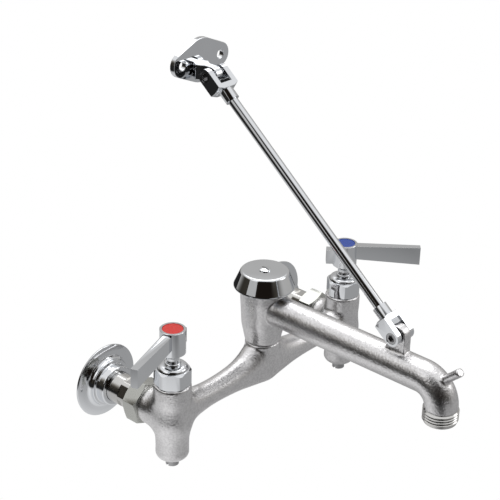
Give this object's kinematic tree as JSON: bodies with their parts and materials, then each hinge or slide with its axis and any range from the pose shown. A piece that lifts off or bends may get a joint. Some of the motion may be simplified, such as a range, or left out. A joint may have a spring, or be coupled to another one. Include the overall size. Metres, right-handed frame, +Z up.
{
  "type": "wall-mounted service sink faucet",
  "caption": "Rough-chrome wall faucet for a service sink, with lever handles, vacuum breaker, pail hook, hose outlet and a brace rod to the wall.",
  "frame": {"origin": "on the finished wall, midway between the two inlet axes", "axes": "+Z up, +Y into the wall, the spout runs out along -Y, hot inlet on -X"},
  "size_m": [0.3056, 0.2618, 0.3004],
  "materials": {
    "cast_chrome": "satin",
    "polished_chrome": "polished",
    "turned_nickel": "satin",
    "dark_nickel": "satin",
    "brass": "satin",
    "rubber": "matte",
    "ceramic": "polished",
    "steel": "satin",
    "red_index": "gloss",
    "blue_index": "gloss"
  },
  "bodies": {
    "body": {"valve_body": "cast_chrome", "swivel_seal": "rubber", "retaining_ring": "brass", "hot_escutcheon": "polished_chrome", "hot_shank": "turned_nickel", "hot_coupling_nut": "dark_nickel", "hot_washer": "rubber", "hot_bonnet": "polished_chrome", "hot_packing_nut": "brass", "hot_sleeve": "brass", "hot_fixed_disc": "ceramic", "hot_seat_gasket": "rubber", "cold_escutcheon": "polished_chrome", "cold_shank": "turned_nickel", "cold_coupling_nut": "dark_nickel", "cold_washer": "rubber", "cold_bonnet": "polished_chrome", "cold_packing_nut": "brass", "cold_sleeve": "brass", "cold_fixed_disc": "ceramic", "cold_seat_gasket": "rubber"},
    "hot_handle": {"hot_stem": "brass", "hot_moving_disc": "ceramic", "hot_lever": "polished_chrome", "hot_lever_screw": "steel", "hot_index": "red_index"},
    "hot_stop_slide": {"hot_stop_plug": "rubber"},
    "hot_stop_screw": {"hot_stop_stem": "steel", "hot_stop_ring": "rubber"},
    "cold_handle": {"cold_stem": "brass", "cold_moving_disc": "ceramic", "cold_lever": "polished_chrome", "cold_lever_screw": "steel", "cold_index": "blue_index"},
    "cold_stop_slide": {"cold_stop_plug": "rubber"},
    "cold_stop_screw": {"cold_stop_stem": "steel", "cold_stop_ring": "rubber"},
    "spout_group": {"spout": "cast_chrome", "breaker_seat": "brass", "air_seat": "brass", "breaker_cap": "polished_chrome", "cap_screw": "polished_chrome"},
    "float": {"breaker_float": "brass", "float_gasket": "rubber"},
    "lower_clevis": {"lower_fork": "polished_chrome", "lower_pin": "steel"},
    "rod_group": {"brace_rod": "polished_chrome", "upper_fork": "polished_chrome", "upper_pin": "steel"},
    "plate": {"wall_plate": "polished_chrome"}
  },
  "joints": [
    {"name": "hot_lever_turn", "type": "hinge", "parent": "body", "child": "hot_handle", "pos_m": [-0.1016, -0.0746, 0.06], "axis": [0, 0, 1], "range_deg": [-18.8, 71.2]},
    {"name": "hot_stop_travel", "type": "slide", "parent": "body", "child": "hot_stop_slide", "axis": [0, 0, 1], "range_m": [0, 0.0042]},
    {"name": "hot_stop_turn", "type": "hinge", "parent": "hot_stop_slide", "child": "hot_stop_screw", "pos_m": [-0.1016, -0.0746, -0.04], "axis": [0, 0, 1], "range_deg": [0, 1008]},
    {"name": "cold_lever_turn", "type": "hinge", "parent": "body", "child": "cold_handle", "pos_m": [0.1016, -0.0746, 0.06], "axis": [0, 0, 1], "range_deg": [-41, 49]},
    {"name": "cold_stop_travel", "type": "slide", "parent": "body", "child": "cold_stop_slide", "axis": [0, 0, 1], "range_m": [0, 0.0042]},
    {"name": "cold_stop_turn", "type": "hinge", "parent": "cold_stop_slide", "child": "cold_stop_screw", "pos_m": [0.1016, -0.0746, -0.04], "axis": [0, 0, 1], "range_deg": [0, 1008]},
    {"name": "spout_swivel", "type": "hinge", "parent": "body", "child": "spout_group", "pos_m": [0, -0.0746, 0.0256], "axis": [0, 0, 1], "range_deg": [-45, 45]},
    {"name": "float_lift", "type": "slide", "parent": "spout_group", "child": "float", "axis": [0, 0, 1], "range_m": [0, 0.0035]},
    {"name": "lower_brace_swing", "type": "hinge", "parent": "spout_group", "child": "lower_clevis", "pos_m": [0, -0.2048, 0.0812], "axis": [1, 0, 0], "range_deg": [-26, 50]},
    {"name": "brace_length", "type": "slide", "parent": "lower_clevis", "child": "rod_group", "axis": [0, 0.7789, 0.6271], "range_m": [-0.0025, 0.004]},
    {"name": "wall_plate_swing", "type": "hinge", "parent": "rod_group", "child": "plate", "pos_m": [0, -0.0175, 0.232], "axis": [1, 0, 0], "range_deg": [-50, 60]}
  ],
  "couplings": [
    {"joint": "hot_stop_turn", "follows": "hot_stop_travel", "rad_per_m": 4188.8},
    {"joint": "cold_stop_turn", "follows": "cold_stop_travel", "rad_per_m": 4188.8}
  ]
}
